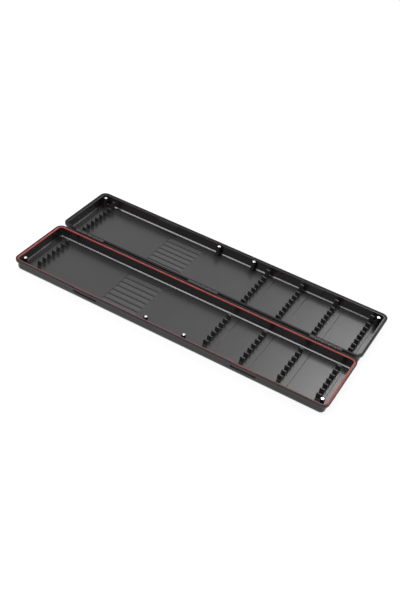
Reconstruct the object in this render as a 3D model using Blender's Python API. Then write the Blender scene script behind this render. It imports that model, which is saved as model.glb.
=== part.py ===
"""A long, shallow rig box in two hinged trays, lying open flat.

The base lies on the -Y side and the lid on the +Y side of the hinge line. Both trays hold drop-in
floor panels with upright comb plates, and both carry magnets on posts along their opening side. The
base also carries a rubber seal on its rim. X runs along the box, and Z = 0 is what the trays lie on.
The origin is on that surface, under the middle of the hinge line.
"""
import math

import bmesh
import bpy
from mathutils import Matrix, Vector

# Trays
BOX_LENGTH = 0.440
TRAY_WIDTH = 0.1025
TRAY_HEIGHT = 0.0168
TRAY_DEPTH = 0.0141
RIM_CORNER = 0.009
RIM_EDGE = 0.0003
FLANGE_OVERHANG = 0.0028
FLANGE_HEIGHT = 0.0032
OUTER_DRAFT = 0.0004
BOTTOM_RADIUS = 0.0055
BASE_WALL_INSET = 0.0042
LID_WALL_INSET = 0.0047
LID_HINGE_OVERHANG = 0.0013
LID_HINGE_WALL_INSET = 0.0030
INNER_DRAFT = 0.0004
FOOT_CHAMFER = 0.0012
SKIN = 0.0012

# Clearances
SEAT_GAP = 0.0003
OVERRUN = 0.002
SINK = 0.0004

# Rim: the open shelf that carries the seal, and the low step along the inside of the lid's rim
SHELF_LIP = 0.00115
SHELF_DEPTH = 0.0015
STEP_INSET = 0.0030
STEP_DEPTH = 0.0005
SEAL_WIDTH = 0.0027
SEAL_SHOULDER_DROP = 0.0007
SEAL_RIDGE_WIDTH = 0.0013
SEAL_PROUD = 0.0001
SEAL_JOINT = 0.0006

# Hinges
HINGE_GAP = 0.0048
HINGE_LENGTH = 0.0435
HINGE_SHARE = 0.3943
KNUCKLE_RADIUS = 0.0021
KNUCKLE_COUNT = 5
KNUCKLE_GAP = 0.0010
KNUCKLE_CHAMFER = 0.0003
ARM_REACH = 0.0008
ARM_DROP = 0.0003
PIN_RADIUS = 0.0009
PIN_RECESS = 0.0003
HINGE_NAMES = ("left", "middle", "right")

# Magnets and the posts that hold them
MAGNET_END_ROW = 0.0122
MAGNET_MIDDLE_ROW = 0.0095
MAGNET_END_INSET = 0.0107
MAGNET_MIDDLE_SHARE = 0.0609
MAGNET_RADIUS = 0.0020
MAGNET_THICKNESS = 0.0020
MAGNET_CHAMFER = 0.0002
POST_RADIUS = 0.0030
POST_CHAMFER = 0.0003

# Floor panels in their recess
RECESS_INSET = 0.0070
RECESS_END = 0.0117
RECESS_CORNER = 0.0030
PANEL_THICKNESS = 0.0012
PANEL_EDGE = 0.00012
JOINT_OFFSET = 0.0150

# Combs
COMB_FRONT_SHARE = 0.2254
COMB_PITCH_SHARE = 0.0990
PLATE_COUNT = 7
PLATE_THICKNESS = 0.0018
PLATE_DROP = 0.0057
PLATE_LENGTH = 0.0060
PLATE_FALL = 0.0008
PLATE_NOSE = 0.0014
ANCHOR_LENGTH = 0.0050
ANCHOR_POST_ROOM = 0.0083
COMB_POST_ROOM = 0.0022
COMB_SPACING_SHARE = 0.1143
COMB_COUNT = 4
PLATE_FOOT = 0.0002
PLATE_FOOT_HEIGHT = 0.0002
PLATE_FOOT_LIP = 0.0001

# Writing strips, sunk into the long panel
LABEL_PLACE_SHARE = -0.1632
LABEL_LENGTH = 0.051
LABEL_WIDTH_SHARE = 0.75
LABEL_LEAD = 0.0018
LABEL_DEPTH = 0.0007

# Finger recesses in the opening side
FINGER_SHARE = 0.2534
FINGER_LENGTH = 0.034
FINGER_SCOOP_INSET = 0.0044
FINGER_SCOOP_TOP = 0.0030
FINGER_SCOOP_BOTTOM = 0.0094
FINGER_RADIUS = 0.0020
FINGER_WALL = 0.0012
FINGER_LIP_CUT = 0.0014
FINGER_LIP_PAST = 0.00025

# How finely round shapes are cut
CORNER_SEGMENTS = 7
BOTTOM_SEGMENTS = 5
FILLET_SEGMENTS = 3
EASE_SEGMENTS = 2
FLAT = 1
POST_SEGMENTS = 20
PIN_SEGMENTS = 12
KNUCKLE_SEGMENTS = 16
SEAL_SEGMENTS = 6

BASE = -1
LID = 1
EXTRA_ROW = -1
HALF = 0.5
HALF_TURN = math.radians(180)
QUARTER_TURN = HALF * HALF_TURN
SMOOTH_ANGLE = math.radians(35)
SAME_PLACE = HALF * PANEL_EDGE

rim_z = TRAY_HEIGHT
floor_z = TRAY_HEIGHT - TRAY_DEPTH
axis_z = TRAY_HEIGHT + HALF * SEAT_GAP
axis_place = Vector((0, 0, axis_z))
hinge_pitch = HINGE_SHARE * BOX_LENGTH
magnet_end = HALF * BOX_LENGTH - MAGNET_END_INSET
magnet_middle = MAGNET_MIDDLE_SHARE * BOX_LENGTH
comb_front = COMB_FRONT_SHARE * TRAY_WIDTH
comb_pitch = COMB_PITCH_SHARE * TRAY_WIDTH
comb_spacing = COMB_SPACING_SHARE * BOX_LENGTH
anchor_x = POST_RADIUS + ANCHOR_POST_ROOM - magnet_end
last_comb_x = magnet_end - POST_RADIUS - COMB_POST_ROOM - PLATE_LENGTH
label_x = LABEL_PLACE_SHARE * BOX_LENGTH
label_width = LABEL_WIDTH_SHARE * comb_pitch
finger_x = FINGER_SHARE * BOX_LENGTH


def clear_scene():
    """Removes whatever the scene holds."""
    for item in list(bpy.data.objects):
        bpy.data.objects.remove(item, do_unlink=True)


def new_collection(name):
    """Adds a collection to the scene."""
    collection = bpy.data.collections.new(name)
    bpy.context.scene.collection.children.link(collection)
    return collection


def plain_material(name, colour, roughness, metallic):
    """A Principled material of one colour."""
    material = bpy.data.materials.new(name)
    material.use_nodes = True
    shader = material.node_tree.nodes["Principled BSDF"]
    shader.inputs["Base Color"].default_value = (*colour, 1)
    shader.inputs["Roughness"].default_value = roughness
    shader.inputs["Metallic"].default_value = metallic
    material.diffuse_color = (*colour, 1)
    return material


def shell_plastic():
    return plain_material("shell_plastic", (0.012, 0.011, 0.013), 0.28, 0)


def panel_plastic():
    return plain_material("panel_plastic", (0.014, 0.013, 0.015), 0.22, 0)


def seal_rubber():
    return plain_material("seal_rubber", (0.30, 0.030, 0.022), 0.45, 0)


def magnet_nickel():
    return plain_material("magnet_nickel", (0.86, 0.86, 0.85), 0.18, 1)


def pin_steel():
    return plain_material("pin_steel", (0.55, 0.55, 0.56), 0.30, 1)


def across(side, inset):
    """Y at a distance in from a tray's opening edge, towards the hinges."""
    return side * (HALF * HINGE_GAP + TRAY_WIDTH - inset)


def tray_middle(side):
    return across(side, HALF * TRAY_WIDTH)


def finish_mesh(bm, name):
    """Turns a bmesh into a mesh with its faces pointing out, smooth apart from its sharp edges."""
    bmesh.ops.recalc_face_normals(bm, faces=bm.faces)
    mesh = bpy.data.meshes.new(name)
    bm.to_mesh(mesh)
    bm.free()
    mesh.shade_smooth()
    mesh.set_sharp_from_angle(angle=SMOOTH_ANGLE)
    return mesh


def add_block(bm, low, high):
    """Adds a box between two corners and returns its vertices."""
    low = Vector(low)
    high = Vector(high)
    made = bmesh.ops.create_cube(bm, size=1)
    bmesh.ops.scale(bm, vec=high - low, verts=made["verts"])
    bmesh.ops.translate(bm, vec=(low + high) * HALF, verts=made["verts"])
    return made["verts"]


def upright_edges(verts):
    """The edges of a box that run along Z."""
    edges = {edge for vert in verts for edge in vert.link_edges}
    return [edge for edge in edges if abs((edge.verts[0].co - edge.verts[1].co).normalized().z) > HALF]


def level_edges(bm, level):
    """The outline edges of a body's flat face at one level."""
    faces = [face for face in bm.faces
             if abs(face.normal.z) > HALF and all(abs(vert.co.z - level) < SAME_PLACE for vert in face.verts)]
    return list({edge for face in faces for edge in face.edges
                 if not all(link in faces for link in edge.link_faces)})


def bevel(bm, edges, radius, segments):
    bmesh.ops.bevel(bm, geom=edges, offset=radius, offset_type="OFFSET", segments=segments, profile=HALF,
                    affect="EDGES", clamp_overlap=True)


def rounded_block(low, high, corner, draft=0, low_radius=0, low_segments=BOTTOM_SEGMENTS):
    """A box with round upright edges, walls drawn in towards the bottom, and a round bottom edge."""
    bm = bmesh.new()
    verts = add_block(bm, low, high)
    bevel(bm, upright_edges(verts), corner, CORNER_SEGMENTS)
    bm.normal_update()
    middle = (Vector(low) + Vector(high)) * HALF
    if draft:
        for vert in bm.verts:
            if vert.co.z < middle.z:
                vert.co.x -= math.copysign(draft, vert.co.x - middle.x)
                vert.co.y -= math.copysign(draft, vert.co.y - middle.y)
    if low_radius:
        bevel(bm, level_edges(bm, low[2]), low_radius, low_segments)
    return bm


def inset_block(side, inset, z_low, z_high, corner, hinge_inset=None, **shape):
    """A rounded block whose outline lies one distance inside a tray's rim, or another at the hinges."""
    if hinge_inset is None:
        hinge_inset = inset
    x = HALF * BOX_LENGTH - inset
    ends = sorted((across(side, inset), across(side, TRAY_WIDTH - hinge_inset)))
    return rounded_block((-x, ends[0], z_low), (x, ends[1], z_high), corner, **shape)


def add_cylinder(bm, place, radius, length, segments, turn=None, chamfer=0):
    """Adds a closed cylinder about a place, along Z unless it is turned."""
    matrix = Matrix.Translation(place)
    if turn is not None:
        matrix = matrix @ turn
    made = bmesh.ops.create_cone(bm, cap_ends=True, cap_tris=False, segments=segments, radius1=radius,
                                 radius2=radius, depth=length, matrix=matrix)
    if chamfer:
        caps = [face for face in {face for vert in made["verts"] for face in vert.link_faces}
                if len(face.verts) == segments]
        bevel(bm, list({edge for face in caps for edge in face.edges}), chamfer, FLAT)


class Box:
    """The collections and materials, and the ways pieces are added to them."""

    def __init__(self):
        clear_scene()
        self.parts = new_collection("fishing_rig_box")
        self.cutters = new_collection("cutters")
        self.lid_axis = bpy.data.objects.new("lid_axis", None)
        self.lid_axis.location = axis_place
        self.parts.objects.link(self.lid_axis)

    def piece(self, name, mesh, material, side, place=Vector()):
        """Adds a visible piece at a place; a lid piece hangs from the hinge axis."""
        item = bpy.data.objects.new(name, mesh)
        if not mesh.materials:
            mesh.materials.append(material)
        if side == LID:
            item.parent = self.lid_axis
            item.location = place - axis_place
        else:
            item.location = place
        self.parts.objects.link(item)
        return item

    def shape(self, name, bm, material, side):
        """Adds a piece that is modelled in place; the lid's mesh is measured from the hinge axis."""
        mesh = finish_mesh(bm, name)
        if side == BASE:
            return self.piece(name, mesh, material, side)
        mesh.transform(Matrix.Translation(-axis_place))
        return self.piece(name, mesh, material, side, axis_place)

    def tool(self, name, bm):
        """Adds a hidden body that other pieces are cut or joined with."""
        item = bpy.data.objects.new(name, finish_mesh(bm, name))
        item.hide_render = True
        item.display_type = "WIRE"
        self.cutters.objects.link(item)
        return item

    def combine(self, item, operation, name, bm):
        """Cuts a piece with a hidden body, or joins that body to it."""
        tool = self.tool(item.name + "_" + name, bm)
        modifier = item.modifiers.new(tool.name, "BOOLEAN")
        modifier.operation = operation
        modifier.solver = "EXACT"
        modifier.object = tool


def tray_body(side):
    """The tray's solid outer form below the flange. The lid's comes nearer to the hinges."""
    hinge_inset = FLANGE_OVERHANG if side == BASE else LID_HINGE_OVERHANG
    return inset_block(side, FLANGE_OVERHANG, 0, rim_z - HALF * FLANGE_HEIGHT, RIM_CORNER - FLANGE_OVERHANG,
                       hinge_inset, draft=OUTER_DRAFT, low_radius=BOTTOM_RADIUS)


def flange(side):
    """The rim that stands out round the tray, with its outer edges eased."""
    bm = inset_block(side, 0, rim_z - FLANGE_HEIGHT, rim_z, RIM_CORNER)
    for level in (rim_z, rim_z - FLANGE_HEIGHT):
        bm.normal_update()
        bevel(bm, level_edges(bm, level), RIM_EDGE, EASE_SEGMENTS)
    return bm


def cavity(side, wall_inset):
    """The hollow of the tray, with a chamfer along the foot of the wall."""
    hinge_inset = wall_inset if side == BASE else LID_HINGE_WALL_INSET
    return inset_block(side, wall_inset, floor_z, rim_z + OVERRUN, RIM_CORNER - wall_inset, hinge_inset,
                       draft=INNER_DRAFT, low_radius=FOOT_CHAMFER, low_segments=FLAT)


def panel_recess(side):
    """The sunk part of the floor that the panels drop into."""
    half_length = HALF * BOX_LENGTH - RECESS_END
    ends = sorted((across(side, RECESS_INSET), across(side, TRAY_WIDTH - RECESS_INSET)))
    return rounded_block((-half_length, ends[0], SKIN), (half_length, ends[1], floor_z + OVERRUN),
                         RECESS_CORNER)


def seal_shelf(side):
    """The step in the base's rim that the seal lies on, open to the inside."""
    return inset_block(side, SHELF_LIP, rim_z - SHELF_DEPTH, rim_z + OVERRUN, RIM_CORNER - SHELF_LIP)


def lid_step(side):
    """The low step along the inside of the lid's rim, which the hinge side doesn't have."""
    return inset_block(side, STEP_INSET, rim_z - STEP_DEPTH, rim_z + OVERRUN, RIM_CORNER - STEP_INSET,
                       LID_WALL_INSET)


def finger_span(side, x, inset_low, inset_high, z_low, z_high, radius):
    """A block across the opening side's wall at one finger recess, with round ends."""
    ends = sorted((across(side, inset_low), across(side, inset_high)))
    bm = bmesh.new()
    reach = HALF * FINGER_LENGTH
    verts = add_block(bm, (x - reach, ends[0], z_low), (x + reach, ends[1], z_high))
    if radius:
        edges = {edge for vert in verts for edge in vert.link_edges}
        along = [edge for edge in edges if abs((edge.verts[0].co - edge.verts[1].co).normalized().y) > HALF]
        bevel(bm, along, radius, FILLET_SEGMENTS)
    return bm


def merge(first, second):
    """Puts one bmesh into another as a separate body."""
    mesh = bpy.data.meshes.new("merged")
    second.to_mesh(mesh)
    second.free()
    first.from_mesh(mesh)
    bpy.data.meshes.remove(mesh)
    return first


def finger_cuts(side):
    """What is cut away at the finger recesses: a scoop below the flange, and the base's outer lip."""
    bm = bmesh.new()
    lip = SHELF_LIP + FINGER_LIP_PAST
    for x in (-finger_x, finger_x):
        if side == BASE:
            merge(bm, finger_span(side, x, -OVERRUN, lip, rim_z - FINGER_LIP_CUT, rim_z + OVERRUN, 0))
        merge(bm, finger_span(side, x, -OVERRUN, FINGER_SCOOP_INSET, rim_z - FINGER_SCOOP_BOTTOM,
                              rim_z - FINGER_SCOOP_TOP, FINGER_RADIUS))
    return bm


def finger_backs(side, wall_inset):
    """The bulges inside the wall that close off the scoops."""
    bm = bmesh.new()
    for x in (-finger_x, finger_x):
        inset = FINGER_SCOOP_INSET + FINGER_WALL
        back = finger_span(side, x, wall_inset - HALF * FINGER_WALL, inset,
                           rim_z - FINGER_SCOOP_BOTTOM - FINGER_WALL, rim_z - HALF * FINGER_SCOOP_TOP,
                           FINGER_RADIUS)
        face = [face for face in back.faces if all(abs(vert.co.y - across(side, inset)) < PANEL_EDGE
                                                   for vert in face.verts)]
        bevel(back, list({edge for one in face for edge in one.edges}), HALF * FINGER_WALL, EASE_SEGMENTS)
        merge(bm, back)
    return bm


def magnet_places(side):
    """The centres of one tray's magnets in plan, from left to right."""
    end_y = across(side, MAGNET_END_ROW)
    middle_y = across(side, MAGNET_MIDDLE_ROW)
    return [Vector((-magnet_end, end_y, 0)), Vector((-magnet_middle, middle_y, 0)),
            Vector((magnet_middle, middle_y, 0)), Vector((magnet_end, end_y, 0))]


def posts(side):
    """The posts that rise from the skin to the rim."""
    bm = bmesh.new()
    foot = HALF * SKIN
    for place in magnet_places(side):
        add_cylinder(bm, place + Vector((0, 0, HALF * (foot + rim_z))), POST_RADIUS, rim_z - foot,
                     POST_SEGMENTS, chamfer=POST_CHAMFER)
    return bm


def magnet_pockets(side):
    """The pockets in the posts' tops, with clearance round and under the magnets."""
    bm = bmesh.new()
    depth = MAGNET_THICKNESS + SEAT_GAP
    for place in magnet_places(side):
        add_cylinder(bm, place + Vector((0, 0, rim_z + HALF * (OVERRUN - depth))), MAGNET_RADIUS + SEAT_GAP,
                     depth + OVERRUN, POST_SEGMENTS)
    return bm


def knuckle_length():
    return (HINGE_LENGTH - (KNUCKLE_COUNT - 1) * KNUCKLE_GAP) / KNUCKLE_COUNT


def hinge_centres():
    return [-hinge_pitch, 0, hinge_pitch]


def knuckle_centres(side):
    """X of each knuckle that one tray carries: the base has the odd ones, the lid the even ones."""
    step = knuckle_length() + KNUCKLE_GAP
    first = 0 if side == BASE else 1
    return [centre + (index - HALF * (KNUCKLE_COUNT - 1)) * step
            for centre in hinge_centres() for index in range(first, KNUCKLE_COUNT, 2)]


def along_x():
    """The turn that lays a cylinder along X."""
    return Matrix.Rotation(QUARTER_TURN, 4, "Y")


def knuckles(side):
    bm = bmesh.new()
    for x in knuckle_centres(side):
        add_cylinder(bm, Vector((x, 0, axis_z)), KNUCKLE_RADIUS, knuckle_length(), KNUCKLE_SEGMENTS,
                     turn=along_x(), chamfer=KNUCKLE_CHAMFER)
    return bm


def knuckle_arms(side):
    """The webs that carry the knuckles on the flange's outer face."""
    bm = bmesh.new()
    half = HALF * knuckle_length() - KNUCKLE_CHAMFER - KNUCKLE_CHAMFER
    ends = sorted((0, side * (HALF * HINGE_GAP + ARM_REACH)))
    for x in knuckle_centres(side):
        add_block(bm, (x - half, ends[0], axis_z - KNUCKLE_RADIUS), (x + half, ends[1], rim_z - ARM_DROP))
    return bm


def pin_bores():
    bm = bmesh.new()
    for x in hinge_centres():
        add_cylinder(bm, Vector((x, 0, axis_z)), PIN_RADIUS + SEAT_GAP, HINGE_LENGTH + OVERRUN, PIN_SEGMENTS,
                     turn=along_x())
    return bm


def make_shell(box, name, side, material):
    """One tray: wall, flange, floor skin, posts, finger recesses and knuckles in one moulding."""
    wall_inset = BASE_WALL_INSET if side == BASE else LID_WALL_INSET
    shell = box.shape(name, tray_body(side), material, side)
    box.combine(shell, "UNION", "flange", flange(side))
    box.combine(shell, "DIFFERENCE", "cavity", cavity(side, wall_inset))
    box.combine(shell, "UNION", "finger_backs", finger_backs(side, wall_inset))
    if side == BASE:
        box.combine(shell, "DIFFERENCE", "seal_shelf", seal_shelf(side))
    else:
        box.combine(shell, "DIFFERENCE", "lid_step", lid_step(side))
    box.combine(shell, "DIFFERENCE", "panel_recess", panel_recess(side))
    box.combine(shell, "DIFFERENCE", "finger_cuts", finger_cuts(side))
    box.combine(shell, "UNION", "posts", posts(side))
    box.combine(shell, "DIFFERENCE", "magnet_pockets", magnet_pockets(side))
    box.combine(shell, "UNION", "knuckles", knuckles(side))
    box.combine(shell, "UNION", "knuckle_arms", knuckle_arms(side))
    box.combine(shell, "DIFFERENCE", "pin_bores", pin_bores())
    return shell


def add_plate(bm, side, x, length, index, top_z):
    """One comb plate: a flared foot, an upright plate, and a top that falls away to the right.

    Its left end rises to a nose whose upper corner is cut off.
    """
    front = across(side, comb_front + index * comb_pitch)
    ends = sorted((front, front - side * PLATE_THICKNESS))
    lip_z = floor_z + PLATE_FOOT_LIP
    verts = add_block(bm, (x - PLATE_FOOT, ends[0] - PLATE_FOOT, floor_z - SINK),
                      (x + length + PLATE_FOOT, ends[1] + PLATE_FOOT, lip_z))
    middle = Vector((x + HALF * length, HALF * (ends[0] + ends[1]), 0))
    bm.normal_update()
    top = [face for face in {face for vert in verts for face in vert.link_faces} if face.normal.z > HALF]
    for level in (lip_z + PLATE_FOOT_HEIGHT, top_z):
        made = bmesh.ops.extrude_face_region(bm, geom=top)
        risen = [item for item in made["geom"] if isinstance(item, bmesh.types.BMVert)]
        bmesh.ops.delete(bm, geom=top, context="FACES_ONLY")
        top = [item for item in made["geom"] if isinstance(item, bmesh.types.BMFace)]
        for vert in risen:
            vert.co.x = middle.x + math.copysign(HALF * length, vert.co.x - middle.x)
            vert.co.y = middle.y + math.copysign(HALF * PLATE_THICKNESS, vert.co.y - middle.y)
            vert.co.z = level
    for vert in top[0].verts:
        if vert.co.x > middle.x:
            vert.co.z -= PLATE_FALL
    nose = [edge for edge in top[0].edges if all(vert.co.x < middle.x for vert in edge.verts)]
    bevel(bm, nose, PLATE_NOSE, FLAT)


def comb_plates(side, combs):
    """The plates of the given combs, each comb a left edge and a plate length.

    The lid has one more row, of tall plates that reach the rim.
    """
    bm = bmesh.new()
    first = 0 if side == BASE else EXTRA_ROW
    for x, length in combs:
        for index in range(first, PLATE_COUNT):
            top_z = rim_z if index == EXTRA_ROW else rim_z - PLATE_DROP
            add_plate(bm, side, x, length, index, top_z)
    return bm


def post_holes(side):
    """Holes and notches in the panels, where the magnet posts come up."""
    bm = bmesh.new()
    for place in magnet_places(side):
        add_cylinder(bm, place + Vector((0, 0, floor_z)), POST_RADIUS + SEAT_GAP, TRAY_HEIGHT, POST_SEGMENTS)
    return bm


def label_pockets(side):
    """Seven shallow pockets for writing on, one beside each plate."""
    bm = bmesh.new()
    for index in range(PLATE_COUNT):
        far = across(side, comb_front + LABEL_LEAD + index * comb_pitch)
        ends = sorted((far, far + side * label_width))
        add_block(bm, (label_x - HALF * LABEL_LENGTH, ends[0], floor_z - LABEL_DEPTH),
                  (label_x + HALF * LABEL_LENGTH, ends[1], floor_z + OVERRUN))
    return bm


def panel_slab(side, x_low, x_high, round_left, round_right):
    """A flat panel that fills the recess with a small gap, its outer corners round."""
    inset = RECESS_INSET + SEAT_GAP
    ends = sorted((across(side, inset), across(side, TRAY_WIDTH - inset)))
    bm = bmesh.new()
    verts = add_block(bm, (x_low, ends[0], floor_z - PANEL_THICKNESS), (x_high, ends[1], floor_z))
    middle = HALF * (x_low + x_high)
    edges = [edge for edge in upright_edges(verts)
             if (round_left and edge.verts[0].co.x < middle) or (round_right and edge.verts[0].co.x > middle)]
    if edges:
        bevel(bm, edges, RECESS_CORNER - SEAT_GAP, FILLET_SEGMENTS)
    bm.normal_update()
    bevel(bm, level_edges(bm, floor_z), PANEL_EDGE, FLAT)
    return bm


def comb_places():
    """X of the left edges of the close combs, from left to right."""
    return [last_comb_x - steps * comb_spacing for steps in reversed(range(COMB_COUNT))]


def panel_joints():
    """X of the ends and joints of a row of panels."""
    end = HALF * BOX_LENGTH - RECESS_END - SEAT_GAP
    joints = [x + JOINT_OFFSET for x in comb_places()[:-1]]
    return [-end] + joints + [end]


def make_panels(box, prefix, side, material):
    """The row of drop-in floor panels of one tray."""
    joints = panel_joints()
    combs = [(x, PLATE_LENGTH) for x in comb_places()]
    for index in range(COMB_COUNT):
        first = index == 0
        last = index == COMB_COUNT - 1
        name = prefix + ("_long_panel" if first else "_comb_panel_%d" % index)
        x_low = joints[index] + (0 if first else HALF * SEAT_GAP)
        x_high = joints[index + 1] - (0 if last else HALF * SEAT_GAP)
        panel = box.shape(name, panel_slab(side, x_low, x_high, first, last), material, side)
        if first or last:
            box.combine(panel, "DIFFERENCE", "post_holes", post_holes(side))
        if first:
            box.combine(panel, "DIFFERENCE", "labels", label_pockets(side))
        own = [combs[index]] + ([(anchor_x, ANCHOR_LENGTH)] if first else [])
        box.combine(panel, "UNION", "combs", comb_plates(side, own))


def seal_path():
    """Points once round the rim on the seal's centre line, from joint to joint."""
    inset = SHELF_LIP + SEAT_GAP + HALF * SEAL_WIDTH
    half_length = HALF * BOX_LENGTH - inset
    half_width = HALF * TRAY_WIDTH - inset
    radius = RIM_CORNER - inset
    middle = tray_middle(BASE)
    points = [(-half_length, middle + HALF * SEAL_JOINT)]
    for quarters, sx, sy in ((2, -1, 1), (1, 1, 1), (0, 1, -1), (-1, -1, -1)):
        centre = (sx * (half_length - radius), middle + sy * (half_width - radius))
        for step in range(CORNER_SEGMENTS + 1):
            angle = QUARTER_TURN * (quarters - step / CORNER_SEGMENTS)
            points.append((centre[0] + radius * math.cos(angle), centre[1] + radius * math.sin(angle)))
    points.append((-half_length, middle - HALF * SEAL_JOINT))
    return points


def seal_section():
    """Outline of the seal about its place on the shelf: flat below, with a round ridge on top."""
    low = SEAT_GAP - SHELF_DEPTH
    side = HALF * SEAL_WIDTH
    ridge = HALF * SEAL_RIDGE_WIDTH
    points = [(side, low), (side, -SEAL_SHOULDER_DROP)]
    for step in range(SEAL_SEGMENTS + 1):
        angle = HALF_TURN * step / SEAL_SEGMENTS
        rise = (SEAL_PROUD + SEAL_SHOULDER_DROP) * math.sin(angle)
        points.append((ridge * math.cos(angle), rise - SEAL_SHOULDER_DROP))
    points.extend([(-side, -SEAL_SHOULDER_DROP), (-side, low)])
    return points


def curve_object(name, points, cyclic, dimensions):
    """A curve through points, with straight runs between them."""
    curve = bpy.data.curves.new(name, "CURVE")
    curve.dimensions = dimensions
    spline = curve.splines.new("POLY")
    spline.points.add(len(points) - 1)
    for target, point in zip(spline.points, points):
        target.co = (point[0], point[1], 0, 1)
    spline.use_cyclic_u = cyclic
    return bpy.data.objects.new(name, curve)


def make_seal(box, material):
    """The rubber seal: its section swept along the rim, cut once at the left end."""
    section = curve_object("seal_section", seal_section(), True, "2D")
    path = curve_object("seal_path", seal_path(), False, "3D")
    path.data.twist_mode = "Z_UP"
    path.data.bevel_mode = "OBJECT"
    path.data.bevel_object = section
    path.data.use_fill_caps = True
    for guide in (section, path):
        guide.hide_render = True
        box.cutters.objects.link(guide)
    bpy.context.view_layer.update()
    evaluated = path.evaluated_get(bpy.context.evaluated_depsgraph_get())
    swept = bpy.data.meshes.new_from_object(evaluated)
    bm = bmesh.new()
    bm.from_mesh(swept)
    bmesh.ops.remove_doubles(bm, verts=bm.verts, dist=SAME_PLACE)
    for guide in (path, section):
        bpy.data.objects.remove(guide, do_unlink=True)
    bpy.data.meshes.remove(swept)
    box.piece("base_seal", finish_mesh(bm, "base_seal"), material, BASE, Vector((0, 0, rim_z)))


def make_magnets(box, prefix, side, mesh, material):
    """Four magnets, let into their posts just below the rim."""
    for index, place in enumerate(magnet_places(side)):
        top = Vector((0, 0, rim_z - HALF * MAGNET_THICKNESS))
        box.piece("%s_magnet_%d" % (prefix, index + 1), mesh, material, side, place + top)


def magnet_mesh():
    bm = bmesh.new()
    add_cylinder(bm, Vector(), MAGNET_RADIUS, MAGNET_THICKNESS, POST_SEGMENTS, chamfer=MAGNET_CHAMFER)
    return finish_mesh(bm, "magnet")


def make_pins(box, material):
    """One pin for each hinge, inside its knuckles."""
    bm = bmesh.new()
    length = HINGE_LENGTH - PIN_RECESS - PIN_RECESS
    add_cylinder(bm, Vector(), PIN_RADIUS, length, PIN_SEGMENTS, turn=along_x())
    mesh = finish_mesh(bm, "pin")
    for word, x in zip(HINGE_NAMES, hinge_centres()):
        box.piece("hinge_pin_" + word, mesh, material, BASE, Vector((x, 0, axis_z)))


def main():
    box = Box()
    shell_material = shell_plastic()
    panel_material = panel_plastic()
    nickel = magnet_nickel()
    magnet = magnet_mesh()
    for prefix, side in (("base", BASE), ("lid", LID)):
        make_shell(box, prefix + "_shell", side, shell_material)
        make_panels(box, prefix, side, panel_material)
        make_magnets(box, prefix, side, magnet, nickel)
    make_seal(box, seal_rubber())
    make_pins(box, pin_steel())


main()
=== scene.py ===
"""Finishes, light and camera for the open rig box.

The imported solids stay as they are. Each gets a moulded, rubber or metal finish at its real scale,
and the view is the photograph's.
"""

import math

import bpy
from mathutils import Matrix, Vector

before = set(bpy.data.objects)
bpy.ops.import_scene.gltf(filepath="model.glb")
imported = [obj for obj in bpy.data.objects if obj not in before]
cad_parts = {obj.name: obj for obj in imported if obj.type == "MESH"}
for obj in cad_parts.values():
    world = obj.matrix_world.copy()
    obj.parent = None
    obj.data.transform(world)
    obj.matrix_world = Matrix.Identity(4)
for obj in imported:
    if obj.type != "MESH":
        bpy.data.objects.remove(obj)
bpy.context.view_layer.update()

# Levels in the box, in metres above what it lies on
RIM_LEVEL = 0.0168
FLOOR_LEVEL_INSIDE = 0.0027
STRIP_LEVEL = 0.0024

# The photograph's view: angles in degrees, distances in metres, focal length in picture heights
VIEW_AZIMUTH = 22.6312
VIEW_ELEVATION = 37.7205
VIEW_ROLL = 10.4117
VIEW_DISTANCE = 1.20497
VIEW_FOCAL = 959.43 / 600
VIEW_TARGET = (0.009885, -0.025015, RIM_LEVEL)
VIEW_NEAREST = 0.05
VIEW_FARTHEST = 50
SENSOR = 36.0

# The surround: how bright it is to diffuse surfaces, and how white the floor looks. 1 is white
WHITE = (1, 1, 1)
WORLD_STRENGTH = 0.72
FLOOR_COLOUR = (0.90, 0.90, 0.90)
FLOOR_ROUGHNESS = 0.9
FLOOR_WHITE = 0.88
FLOOR_HALF = 6.0
FLOOR_LEVEL = -0.0002

# Softboxes: azimuth from the view of the box's rear, clockwise, and elevation in degrees; then
# distance, width and height in metres; then brightness, where 1 is white
SOFTBOXES = (
    ("softbox_rear_high", 15, 62, 2.2, 0.9, 0.9, 4.6),
    ("softbox_rear_right", 8, 46, 2.2, 0.9, 0.7, 5.6),
    ("softbox_right_low", 42, 20, 2.2, 0.5, 0.4, 14.5),
    ("softbox_front_left", -153, 49, 1.6, 1.4, 0.42, 9.5),
)

# All black plastic: sizes and depths in metres, the noise level where a scratch starts and is
# full, how strongly grain and scratches show, and the shine of plain parts
CLOUD_SIZE = 0.045
RUB_SIZE = 0.018
GRAIN_SIZE = 0.0006
GRAIN_DEPTH = 0.000004
GRAIN_STRENGTH = 0.2
SCRATCH_WIDTH = 0.0004
SCRATCH_STRETCH = 30
SCRATCH_START = 0.66
SCRATCH_FULL = 0.72
SCRATCH_DEPTH = 0.000001
SCRATCH_STRENGTH = 0.5
PLAIN_SPECULAR = 0.5

# Shells: colour and rubbed colour, and roughness from smooth to rubbed. The rims' matt texture
# starts a little below their tops and ends below the knuckles
SHELL_COLOURS = ((0.0078, 0.0062, 0.0072), (0.0100, 0.0082, 0.0094))
SHELL_ROUGHNESS = (0.20, 0.27)
SHELL_IOR = 1.50
RIM_EDGE_DEPTH = 0.0004
RIM_MATT_END = (RIM_LEVEL + 0.0001, RIM_LEVEL + 0.0002)
RIM_WEAR_SIZE = 0.004
RIM_ROUGHNESS = (0.42, 0.52)
RIM_SPECULAR = 0.12

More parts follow.
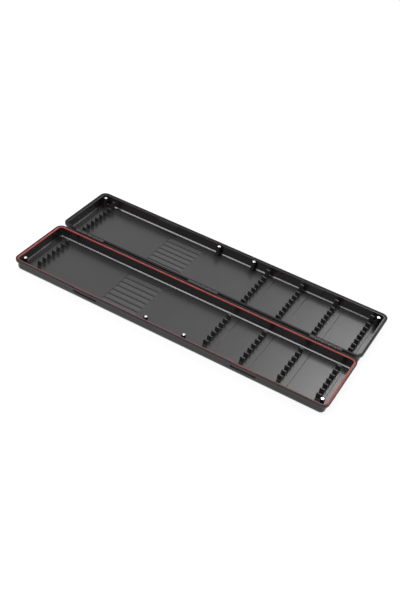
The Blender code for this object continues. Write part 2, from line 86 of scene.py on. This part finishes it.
# Panels: the same, with the comb plates and the strips set apart by their levels
PANEL_COLOURS = ((0.0090, 0.0086, 0.0095), (0.0115, 0.0110, 0.0122))
PANEL_ROUGHNESS = (0.28, 0.32)
PANEL_IOR = 1.56
PLATE_START = (FLOOR_LEVEL_INSIDE + 0.00005, FLOOR_LEVEL_INSIDE + 0.0001)
PLATE_ROUGHNESS = 0.42
PLATE_SPECULAR = 0.25
STRIP_START = (STRIP_LEVEL, STRIP_LEVEL - 0.0002)
STRIP_COLOUR = (0.022, 0.022, 0.023)
STRIP_ROUGHNESS = 0.42
STRIP_RIB_PITCH = 0.0013
STRIP_RIB_DEPTH = 0.00003

# Seal: clean and dusty red, and a darker red painted on its run at the opening side as shade, which
# starts between two places along Y
SEAL_COLOURS = ((0.19, 0.024, 0.018), (0.25, 0.038, 0.030))
SEAL_SHADED_RUN_Y = (-0.096, -0.101)
SEAL_PAINTED_SHADE_COLOUR = (0.088, 0.028, 0.026)
SEAL_DUST_SIZE = 0.006
SEAL_WEAR_SIZE = 0.002
SEAL_ROUGHNESS = (0.36, 0.50)
SEAL_SKIN_SIZE = 0.0008
SEAL_SKIN_DEPTH = 0.000008
SEAL_SKIN_STRENGTH = 0.4

# Metals: colour, and the roughness between and along the scratches
NICKEL = ((0.84, 0.83, 0.81), 0.16, 0.28)
STEEL = ((0.16, 0.16, 0.16), 0.30, 0.42)
METAL_SCRATCH_WIDTH = 0.0011
METAL_SCRATCH_STRETCH = 9
METAL_SCRATCH_DEPTH = 0.00001
METAL_SCRATCH_STRENGTH = 0.3
METAL_SCRATCH_SHADE = 0.9

# Noise lies mostly between these two values
NOISE_LOW = 0.3
NOISE_HIGH = 0.7


class Nodes:
    """A short way to build one material's node tree."""

    SOCKETS = {"colour": "Base Color", "roughness": "Roughness", "normal": "Normal",
               "metallic": "Metallic", "ior": "IOR", "specular": "Specular IOR Level"}

    def __init__(self, name):
        self.material = bpy.data.materials.new(name)
        self.material.use_nodes = True
        self.tree = self.material.node_tree
        self.shader = self.tree.nodes["Principled BSDF"]
        self.place = self.tree.nodes.new("ShaderNodeTexCoord").outputs["Object"]

    def feed(self, socket, value):
        """Links a socket's value, or sets a plain one."""
        if isinstance(value, bpy.types.NodeSocket):
            self.tree.links.new(value, socket)
        elif isinstance(value, tuple) and len(socket.default_value) == len(value) + 1:
            socket.default_value = (*value, 1)
        else:
            socket.default_value = value

    def stretched(self, scale):
        """The place in the object, scaled by a factor along each axis."""
        node = self.tree.nodes.new("ShaderNodeMapping")
        node.inputs["Scale"].default_value = scale
        self.feed(node.inputs["Vector"], self.place)
        return node.outputs["Vector"]

    def noise(self, size, detail, place=None):
        """Noise whose lumps are about one size."""
        node = self.tree.nodes.new("ShaderNodeTexNoise")
        node.inputs["Scale"].default_value = 1 / size
        node.inputs["Detail"].default_value = detail
        self.feed(node.inputs["Vector"], place or self.place)
        return node.outputs["Fac"]

    def ribs(self, pitch):
        """Round ribs across X."""
        node = self.tree.nodes.new("ShaderNodeTexWave")
        node.bands_direction = "X"
        node.inputs["Scale"].default_value = math.pi / (10 * pitch)
        self.feed(node.inputs["Vector"], self.place)
        return node.outputs["Fac"]

    def along(self, axis):
        """How far the place lies along an axis, in metres. Z starts at what the box lies on."""
        node = self.tree.nodes.new("ShaderNodeSeparateXYZ")
        self.feed(node.inputs["Vector"], self.place)
        return node.outputs[axis]

    def span(self, value, start, end, low=0, high=1):
        """A number that goes from low to high as a value goes from start to end."""
        node = self.tree.nodes.new("ShaderNodeMapRange")
        for name, number in (("From Min", start), ("From Max", end), ("To Min", low), ("To Max", high)):
            self.feed(node.inputs[name], number)
        self.feed(node.inputs["Value"], value)
        return node.outputs["Result"]

    def spread(self, noise, low=0, high=1):
        """A number that follows noise from low to high."""
        return self.span(noise, NOISE_LOW, NOISE_HIGH, low, high)

    def product(self, first, second):
        """Two numbers multiplied."""
        node = self.tree.nodes.new("ShaderNodeMath")
        node.operation = "MULTIPLY"
        self.feed(node.inputs[0], first)
        self.feed(node.inputs[1], second)
        return node.outputs["Value"]

    def blend(self, factor, first, second):
        """A number between two others."""
        node = self.tree.nodes.new("ShaderNodeMix")
        for name, value in (("Factor", factor), ("A", first), ("B", second)):
            self.feed(node.inputs[name], value)
        return node.outputs["Result"]

    def mix(self, factor, first, second):
        """A colour between two others."""
        node = self.tree.nodes.new("ShaderNodeMixRGB")
        for name, value in (("Fac", factor), ("Color1", first), ("Color2", second)):
            self.feed(node.inputs[name], value)
        return node.outputs["Color"]

    def bump(self, height, distance, strength, normal=None):
        """A normal that follows a height, on top of another normal where one is given."""
        node = self.tree.nodes.new("ShaderNodeBump")
        for name, value in (("Height", height), ("Distance", distance), ("Strength", strength)):
            self.feed(node.inputs[name], value)
        if normal is not None:
            self.feed(node.inputs["Normal"], normal)
        return node.outputs["Normal"]

    def finish(self, **values):
        """Links or sets the shader's sockets, each under its short name."""
        for name, value in values.items():
            self.feed(self.shader.inputs[self.SOCKETS[name]], value)
        return self.material


def moulded(nodes, colours, roughness):
    """What all moulded black plastic has: flow clouds, rubbed patches, a fine grain and scratches."""
    tint = nodes.mix(nodes.spread(nodes.noise(CLOUD_SIZE, 3)), *colours)
    rough = nodes.spread(nodes.noise(RUB_SIZE, 4), *roughness)
    grain = nodes.bump(nodes.noise(GRAIN_SIZE, 2), GRAIN_DEPTH, GRAIN_STRENGTH)
    lines = nodes.noise(SCRATCH_WIDTH, 1, nodes.stretched((1 / SCRATCH_STRETCH, 1, 1)))
    scratches = nodes.span(lines, SCRATCH_START, SCRATCH_FULL)
    normal = nodes.bump(scratches, SCRATCH_DEPTH, SCRATCH_STRENGTH, grain)
    return tint, rough, normal


def shell_black():
    """The trays: glossy black plastic whose rims have a fine matt texture."""
    nodes = Nodes("shell_black")
    tint, rough, normal = moulded(nodes, SHELL_COLOURS, SHELL_ROUGHNESS)
    height = nodes.along("Z")
    upper = nodes.span(height, RIM_LEVEL - RIM_EDGE_DEPTH, RIM_LEVEL - 0.5 * RIM_EDGE_DEPTH)
    matt = nodes.product(upper, nodes.span(height, *RIM_MATT_END, 1, 0))
    wear = nodes.spread(nodes.noise(RIM_WEAR_SIZE, 5), *RIM_ROUGHNESS)
    return nodes.finish(colour=tint, roughness=nodes.blend(upper, rough, wear), normal=normal,
                        specular=nodes.blend(matt, PLAIN_SPECULAR, RIM_SPECULAR), ior=SHELL_IOR)


def panel_black():
    """The floor panels: duller black plastic, with dark comb plates and ribbed strips to write on."""
    nodes = Nodes("panel_black")
    tint, rough, normal = moulded(nodes, PANEL_COLOURS, PANEL_ROUGHNESS)
    height = nodes.along("Z")
    plate = nodes.span(height, *PLATE_START)
    rough = nodes.blend(plate, rough, PLATE_ROUGHNESS)
    strip = nodes.span(height, *STRIP_START)
    tint = nodes.mix(strip, tint, STRIP_COLOUR)
    rough = nodes.blend(strip, rough, STRIP_ROUGHNESS)
    ribs = nodes.product(nodes.ribs(STRIP_RIB_PITCH), strip)
    normal = nodes.bump(ribs, STRIP_RIB_DEPTH, 1.0, normal)
    return nodes.finish(colour=tint, roughness=rough, normal=normal,
                        specular=nodes.blend(plate, PLAIN_SPECULAR, PLATE_SPECULAR), ior=PANEL_IOR)


def seal_rubber():
    """Brick-red rubber with a soft sheen, slight dust and a fine skin, and painted shade that darkens
    its run at the opening side.
    """
    nodes = Nodes("red_rubber")
    colour = nodes.mix(nodes.spread(nodes.noise(SEAL_DUST_SIZE, 4)), *SEAL_COLOURS)
    # Painted shade: the run at the opening side gets a darker red
    colour = nodes.mix(nodes.span(nodes.along("Y"), *SEAL_SHADED_RUN_Y), colour, SEAL_PAINTED_SHADE_COLOUR)
    rough = nodes.spread(nodes.noise(SEAL_WEAR_SIZE, 3), *SEAL_ROUGHNESS)
    normal = nodes.bump(nodes.noise(SEAL_SKIN_SIZE, 2), SEAL_SKIN_DEPTH, SEAL_SKIN_STRENGTH)
    return nodes.finish(colour=colour, roughness=rough, normal=normal)


def bright_metal(name, colour, rough_low, rough_high):
    """Plated or drawn metal with fine scratches along X."""
    nodes = Nodes(name)
    scratch = nodes.noise(METAL_SCRATCH_WIDTH, 4, nodes.stretched((1, METAL_SCRATCH_STRETCH, 1)))
    shade = tuple(METAL_SCRATCH_SHADE * part for part in colour)
    tint = nodes.mix(nodes.spread(scratch), colour, shade)
    rough = nodes.spread(scratch, rough_low, rough_high)
    normal = nodes.bump(scratch, METAL_SCRATCH_DEPTH, METAL_SCRATCH_STRENGTH)
    return nodes.finish(colour=tint, roughness=rough, normal=normal, metallic=1)


def dress_nodes():
    """Gives every carried-over solid its finish."""
    finishes = (
        ("magnet", bright_metal("nickel", *NICKEL)),
        ("pin", bright_metal("steel", *STEEL)),
        ("seal", seal_rubber()),
        ("panel", panel_black()),
        ("shell", shell_black()),
    )
    for name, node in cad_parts.items():
        material = next(finish for word, finish in finishes if word in name)
        for slot in node.material_slots:
            slot.material = material


def add_camera():
    """The camera that took the photograph, as fitted to the box's edges, combs and magnets."""
    azimuth = math.radians(VIEW_AZIMUTH)
    elevation = math.radians(VIEW_ELEVATION)
    roll = math.radians(VIEW_ROLL)
    ahead = Vector((-math.sin(azimuth) * math.cos(elevation),
                    math.cos(azimuth) * math.cos(elevation),
                    -math.sin(elevation)))
    right = Vector((math.cos(azimuth), math.sin(azimuth), 0))
    up = right.cross(ahead)
    turned_right = right * math.cos(roll) + up * math.sin(roll)
    turned_up = up * math.cos(roll) - right * math.sin(roll)
    data = bpy.data.cameras.new("camera")
    data.sensor_width = SENSOR
    data.lens = VIEW_FOCAL * SENSOR
    data.clip_start = VIEW_NEAREST
    data.clip_end = VIEW_FARTHEST
    camera = bpy.data.objects.new("camera", data)
    turn = Matrix((turned_right, turned_up, -ahead)).transposed().to_4x4()
    camera.matrix_world = Matrix.Translation(Vector(VIEW_TARGET) - ahead * VIEW_DISTANCE) @ turn
    bpy.context.scene.collection.objects.link(camera)
    bpy.context.scene.camera = camera


def seen_directly(tree):
    """1 for rays from the camera, a mirror or glass, and 0 for the rays that light a surface."""
    path = tree.nodes.new("ShaderNodeLightPath")
    total = path.outputs["Is Camera Ray"]
    for name in ("Is Glossy Ray", "Is Transmission Ray"):
        add = tree.nodes.new("ShaderNodeMath")
        add.operation = "ADD"
        add.use_clamp = True
        tree.links.new(total, add.inputs[0])
        tree.links.new(path.outputs[name], add.inputs[1])
        total = add.outputs["Value"]
    return total


def mix_shaders(tree, factor, first, second):
    """The first shader where the factor is 0, and the second where it is 1."""
    mix = tree.nodes.new("ShaderNodeMixShader")
    tree.links.new(factor, mix.inputs["Fac"])
    tree.links.new(first, mix.inputs[1])
    tree.links.new(second, mix.inputs[2])
    return mix.outputs["Shader"]


def glow(tree, kind, output, strength):
    """A white background or emission shader of some strength."""
    node = tree.nodes.new(kind)
    node.inputs["Color"].default_value = (*WHITE, 1)
    node.inputs["Strength"].default_value = strength
    return node.outputs[output]


def add_world():
    """An even pale surround that lights the box, and looks white."""
    world = bpy.data.worlds.new("surround")
    world.use_nodes = True
    tree = world.node_tree
    tree.nodes.clear()
    lighting = glow(tree, "ShaderNodeBackground", "Background", WORLD_STRENGTH)
    seen = glow(tree, "ShaderNodeBackground", "Background", 1)
    surface = mix_shaders(tree, seen_directly(tree), lighting, seen)
    out = tree.nodes.new("ShaderNodeOutputWorld")
    tree.links.new(surface, out.inputs["Surface"])
    bpy.context.scene.world = world


def add_softbox(name, azimuth, elevation, distance, width, height, brightness):
    """A large area lamp that faces the box."""
    data = bpy.data.lights.new(name, "AREA")
    data.shape = "RECTANGLE"
    data.size = width
    data.size_y = height
    data.energy = brightness * width * height * math.pi
    turn = math.radians(azimuth)
    rise = math.radians(elevation)
    away = Vector((math.sin(turn) * math.cos(rise), math.cos(turn) * math.cos(rise), math.sin(rise)))
    lamp = bpy.data.objects.new(name, data)
    lamp.location = distance * away
    lamp.rotation_mode = "QUATERNION"
    lamp.rotation_quaternion = (-away).to_track_quat("-Z", "Y")
    bpy.context.scene.collection.objects.link(lamp)


def add_floor():
    """A plain pale floor that looks nearly white and keeps the box's shadow."""
    nodes = Nodes("pale_floor")
    material = nodes.finish(colour=FLOOR_COLOUR, roughness=FLOOR_ROUGHNESS, specular=0)
    tree = nodes.tree
    white = glow(tree, "ShaderNodeEmission", "Emission", 1)
    share = nodes.product(seen_directly(tree), FLOOR_WHITE)
    surface = mix_shaders(tree, share, nodes.shader.outputs["BSDF"], white)
    tree.links.new(surface, tree.nodes["Material Output"].inputs["Surface"])
    mesh = bpy.data.meshes.new("floor")
    corners = ((-1, -1), (1, -1), (1, 1), (-1, 1))
    places = [(FLOOR_HALF * x, FLOOR_HALF * y, FLOOR_LEVEL) for x, y in corners]
    mesh.from_pydata(places, [], [(0, 1, 2, 3)])
    mesh.materials.append(material)
    floor = bpy.data.objects.new("floor", mesh)
    bpy.context.scene.collection.objects.link(floor)


bpy.context.scene.view_settings.view_transform = "Standard"
add_camera()
dress_nodes()
add_floor()
add_world()
for softbox in SOFTBOXES:
    add_softbox(*softbox)
